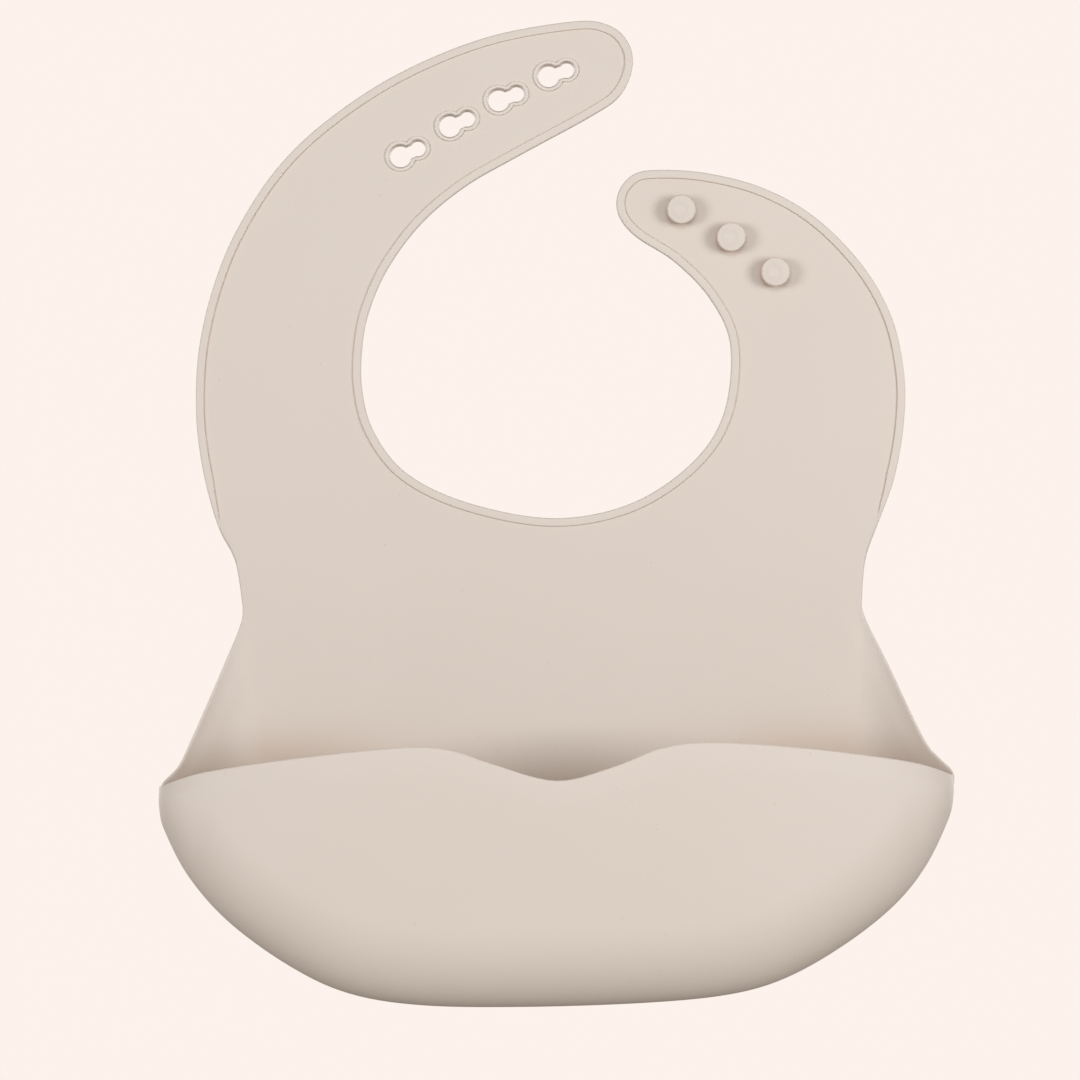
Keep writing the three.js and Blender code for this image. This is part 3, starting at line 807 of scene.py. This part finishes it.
def silicone(name, tones):
    """Matte silicone: a cloudy tone darkened and warmed with painted shade in hollows and creases, a fine
    grain, faint waves and a little dust.
    """
    pale, deep, painted_shade = tones
    nodes = Nodes(name)
    place = nodes.add("ShaderNodeTexCoord").outputs["Object"]
    clouds = nodes.add("ShaderNodeTexNoise", {"Vector": place, "Scale": 22, "Detail": 3, "Roughness": 0.5})
    grain = nodes.add("ShaderNodeTexNoise", {"Vector": place, "Scale": 1600, "Detail": 2, "Roughness": 0.6})
    waves = nodes.add("ShaderNodeTexNoise", {"Vector": place, "Scale": 45, "Detail": 1, "Roughness": 0.4})
    dust = nodes.add("ShaderNodeTexVoronoi", {"Vector": place, "Scale": 150, "Randomness": 1})
    # Painted shade: where ambient occlusion finds hollows and creases, the base colour is mixed towards the
    # warm dark painted-shade tone
    shade_occlusion = nodes.add("ShaderNodeAmbientOcclusion", {"Distance": 0.065}, samples=12)
    unshaded_share = nodes.add(
        "ShaderNodeMapRange",
        {"Value": shade_occlusion.outputs["AO"], "From Min": 0.2, "From Max": 0.78, "To Min": 0, "To Max": 1},
        interpolation_type="SMOOTHSTEP",
    )
    speck = nodes.add(
        "ShaderNodeMapRange",
        {"Value": dust.outputs["Distance"], "From Min": 0.015, "From Max": 0.04, "To Min": 0.5, "To Max": 0},
    )
    rough = nodes.add(
        "ShaderNodeMapRange",
        {"Value": grain.outputs["Fac"], "From Min": 0.3, "From Max": 0.7, "To Min": 0.5, "To Max": 0.62},
    )
    wave_bump = nodes.add(
        "ShaderNodeBump",
        {"Height": waves.outputs["Fac"], "Strength": 0.12, "Distance": 1 * MM},
    )
    grain_bump = nodes.add(
        "ShaderNodeBump",
        {
            "Height": grain.outputs["Fac"], "Strength": 0.12, "Distance": 0.05 * MM,
            "Normal": wave_bump.outputs["Normal"],
        },
    )
    tone = nodes.blend_colours(clouds.outputs["Fac"], pale, deep)
    # the painted shade is mixed into the cloudy tone here
    with_painted_shade = nodes.blend_colours(unshaded_share.outputs["Result"], painted_shade, tone)
    dusty = nodes.blend_colours(speck.outputs["Result"], with_painted_shade, DUST_TONE)
    nodes.set("Base Color", dusty)
    nodes.set("Roughness", rough.outputs["Result"])
    nodes.set("Normal", grain_bump.outputs["Normal"])
    nodes.set("IOR", 1.41)
    nodes.set("Sheen Weight", 0.06)
    nodes.set("Sheen Roughness", 0.5)
    return nodes.material


def silicone_looks():
    """The one silicone on the sheet, a slightly lighter copy as painted light on what stands up from it, and
    a lighter copy round the keyholes as painted light on the collars' walls.
    """
    return {
        "sheet": silicone("silicone", SHEET_TONES),
        "raised": silicone("silicone_raised", RAISED_LIGHTENED_TONES),
        "collar_lightened": silicone("silicone_collar_lightened", COLLAR_LIGHTENED_TONES),
    }


# ---------- the bib ----------


def bend_at(pieces):
    """Bakes each piece's placement into its mesh."""
    for piece in pieces:
        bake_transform(piece)


def stand_for(piece, slot, *nodes):
    """Lets a piece stand for CAD nodes by hiding them; its slot, one of the record's material slots, is not
    used.
    """
    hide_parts(*nodes)
    return piece


def strap_length(node, runs, looks):
    """One length of a strap between two cuts: its sheet and the beads on its outer and inner edge."""
    runs_along_edge = sorted(runs.values())
    outline = collar_outline(runs_along_edge)
    sheet = flat_sheet(f"{node}_sheet", *outline, looks["sheet"])
    pieces = [stand_for(sheet, "silicone", node)]
    for side, run in runs.items():
        edge = bead(f"{node}_bead_{side}", *run, looks["raised"])
        pieces.append(stand_for(edge, "silicone_raised", f"{node}_rim_{side}"))
    bend_at(pieces)


def strap_tip(node, run, looks, holes=()):
    """The strap's free end: its sheet and the one bead round it."""
    sheet = flat_sheet(f"{node}_sheet", *collar_outline([run]), looks["sheet"], holes)
    edge = bead(f"{node}_bead", *run, looks["raised"])
    stand_for(sheet, "silicone", node)
    stand_for(edge, "silicone_raised", f"{node}_rim")
    bend_at([sheet, edge])


def chest(looks):
    runs = [
        (WAIST_SEAM[0], KEYHOLE_ROOT[0]),
        (KEYHOLE_ROOT[1], STUD_ROOT[0]),
        (STUD_ROOT[1], WAIST_SEAM[1]),
    ]
    sheet = flat_sheet("chest_sheet", *collar_outline(runs), looks["sheet"])
    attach(stand_for(sheet, "silicone", "chest_panel"), "chest")
    beads = {
        "left": (LEFT_RIM_END, KEYHOLE_ROOT[0]),
        "neck": (KEYHOLE_ROOT[1], STUD_ROOT[0]),
        "right": (STUD_ROOT[1], RIGHT_RIM_END),
    }
    for side, run in beads.items():
        edge = bead(f"chest_bead_{side}", *run, looks["raised"])
        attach(stand_for(edge, "silicone_raised", f"chest_rim_{side}"), "chest")


def keyhole_strap(looks):
    shoulder = {"outer": (KEYHOLE_ROOT[0], KEYHOLE_ELBOW[0]), "inner": (KEYHOLE_ELBOW[1], KEYHOLE_ROOT[1])}
    middle = {"outer": (KEYHOLE_ELBOW[0], KEYHOLE_WRIST[0]), "inner": (KEYHOLE_WRIST[1], KEYHOLE_ELBOW[1])}
    strap_length("keyhole_strap_shoulder", shoulder, looks)
    strap_length("keyhole_strap_middle", middle, looks)
    holes = [keyhole_outline(index, COLLAR_WIDTH / 2) for index in range(KEYHOLE_COUNT)]
    strap_tip("keyhole_strap_tip", KEYHOLE_WRIST, looks, holes)
    for index in range(KEYHOLE_COUNT):
        node = f"keyhole_collar_{index + 1}"
        # The collars take the lighter copy of the silicone, painted light on their walls
        collar = keyhole_collar(f"{node}_moulded", index, looks["collar_lightened"])
        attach(stand_for(collar, "silicone_raised", node), "keyhole_tip")


def stud_strap(looks):
    shoulder = {"outer": (STUD_ELBOW[1], STUD_ROOT[1]), "inner": (STUD_ROOT[0], STUD_ELBOW[0])}
    strap_length("stud_strap_shoulder", shoulder, looks)
    strap_tip("stud_strap_tip", STUD_ELBOW, looks)
    for node in ("stud_1", "stud_2", "stud_3"):
        knob = stud(f"{node}_moulded", node, looks["raised"])
        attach(stand_for(knob, "silicone_raised", node), "stud_tip")


def pocket(looks):
    """The band that bends at the waist, and the pouch with its front wall that flexes about its foot."""
    grid, seam_row = pocket_grid()
    out = grid_normals(grid) * half_thickness(grid)
    pull = edge_pull(grid)
    band_rows, pouch_rows = slice(0, seam_row + 1), slice(seam_row, None)
    band = thick_grid(
        "waist_band", grid[band_rows], out[band_rows], pull[band_rows], looks["sheet"]
    )
    bend_at([band])
    pouch = thick_grid(
        "pocket_pouch", grid[pouch_rows], out[pouch_rows], pull[pouch_rows], looks["sheet"]
    )
    walls = ("pocket_back", "pocket_floor", "pocket_front", "pocket_side_left", "pocket_side_right")
    stand_for(pouch, "silicone", *walls)
    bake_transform(pouch)


# ---------- the studio ----------

def softbox(name, offset, size, power):
    """A square soft light that faces the bib and is seen only by what it lights."""
    lamp = bpy.data.lights.new(name, "AREA")
    lamp.size = size
    lamp.energy = power
    lamp.color = SOFTBOX_TONE
    light = bpy.data.objects.new(name, lamp)
    light.location = MIDDLE + Vector(offset)
    light.rotation_mode = "QUATERNION"
    light.rotation_quaternion = (-Vector(offset)).to_track_quat("-Z", "Y")
    light.visible_camera = False
    bpy.context.scene.collection.objects.link(light)


def world():
    """A pale backdrop behind everything, and an even soft light that is weaker and warmer than it."""
    studio_world = bpy.data.worlds.new("studio")
    studio_world.use_nodes = True
    bpy.context.scene.world = studio_world
    tree = studio_world.node_tree
    light = tree.nodes["Background"]
    light.inputs["Color"].default_value = AMBIENT_TONE
    light.inputs["Strength"].default_value = AMBIENT_STRENGTH
    backdrop = tree.nodes.new("ShaderNodeBackground")
    backdrop.inputs["Color"].default_value = BACKDROP_TONE
    choose = tree.nodes.new("ShaderNodeMixShader")
    path = tree.nodes.new("ShaderNodeLightPath")
    tree.links.new(path.outputs["Is Camera Ray"], choose.inputs["Fac"])
    tree.links.new(light.outputs["Background"], choose.inputs[1])
    tree.links.new(backdrop.outputs["Background"], choose.inputs[2])
    tree.links.new(choose.outputs["Shader"], tree.nodes["World Output"].inputs["Surface"])


def floor():
    """A pale round floor below the bib that fades out before its rim."""
    mesh = bpy.data.meshes.new("floor")
    shell = bmesh.new()
    bmesh.ops.create_circle(shell, cap_ends=True, segments=FLOOR_SIDES, radius=FLOOR_RADIUS)
    shell.to_mesh(mesh)
    shell.free()
    disc = bpy.data.objects.new("floor", mesh)
    disc.location = (0, 0, cad_box[0].z - FLOOR_DROP)
    bpy.context.scene.collection.objects.link(disc)
    nodes = Nodes("floor")
    place = nodes.add("ShaderNodeTexCoord").outputs["Object"]
    distance = nodes.add("ShaderNodeVectorMath", {0: place}, operation="LENGTH")
    fade = nodes.add(
        "ShaderNodeMapRange",
        {
            "Value": distance.outputs["Value"], "From Min": FLOOR_FADE[0], "From Max": FLOOR_FADE[1],
            "To Min": FLOOR_COVER, "To Max": 0,
        },
        interpolation_type="SMOOTHSTEP",
    )
    nodes.set("Base Color", FLOOR_TONE)
    nodes.set("Roughness", 0.9)
    nodes.set("Alpha", fade.outputs["Result"])
    mesh.materials.append(nodes.material)


def camera():
    """Square on to the bib's front, framed a little to its left and low."""
    lens = bpy.data.cameras.new("camera")
    lens.sensor_width = CAMERA_SENSOR
    lens.lens = CAMERA_LENS
    shot = bpy.data.objects.new("camera", lens)
    shot.location = (MIDDLE.x - CAMERA_LEFT, CAMERA_Y, MIDDLE.z - CAMERA_DOWN)
    shot.rotation_euler = (math.pi / 2, 0, 0)
    bpy.context.scene.collection.objects.link(shot)
    bpy.context.scene.camera = shot


def studio():
    world()
    floor()
    camera()
    for name, (offset, size, power) in SOFTBOXES.items():
        softbox(name, offset, size, power)
    bpy.context.scene.view_settings.view_transform = "Standard"
    bpy.context.scene.view_settings.look = "None"


looks = silicone_looks()
chest(looks)
keyhole_strap(looks)
stud_strap(looks)
pocket(looks)
studio()
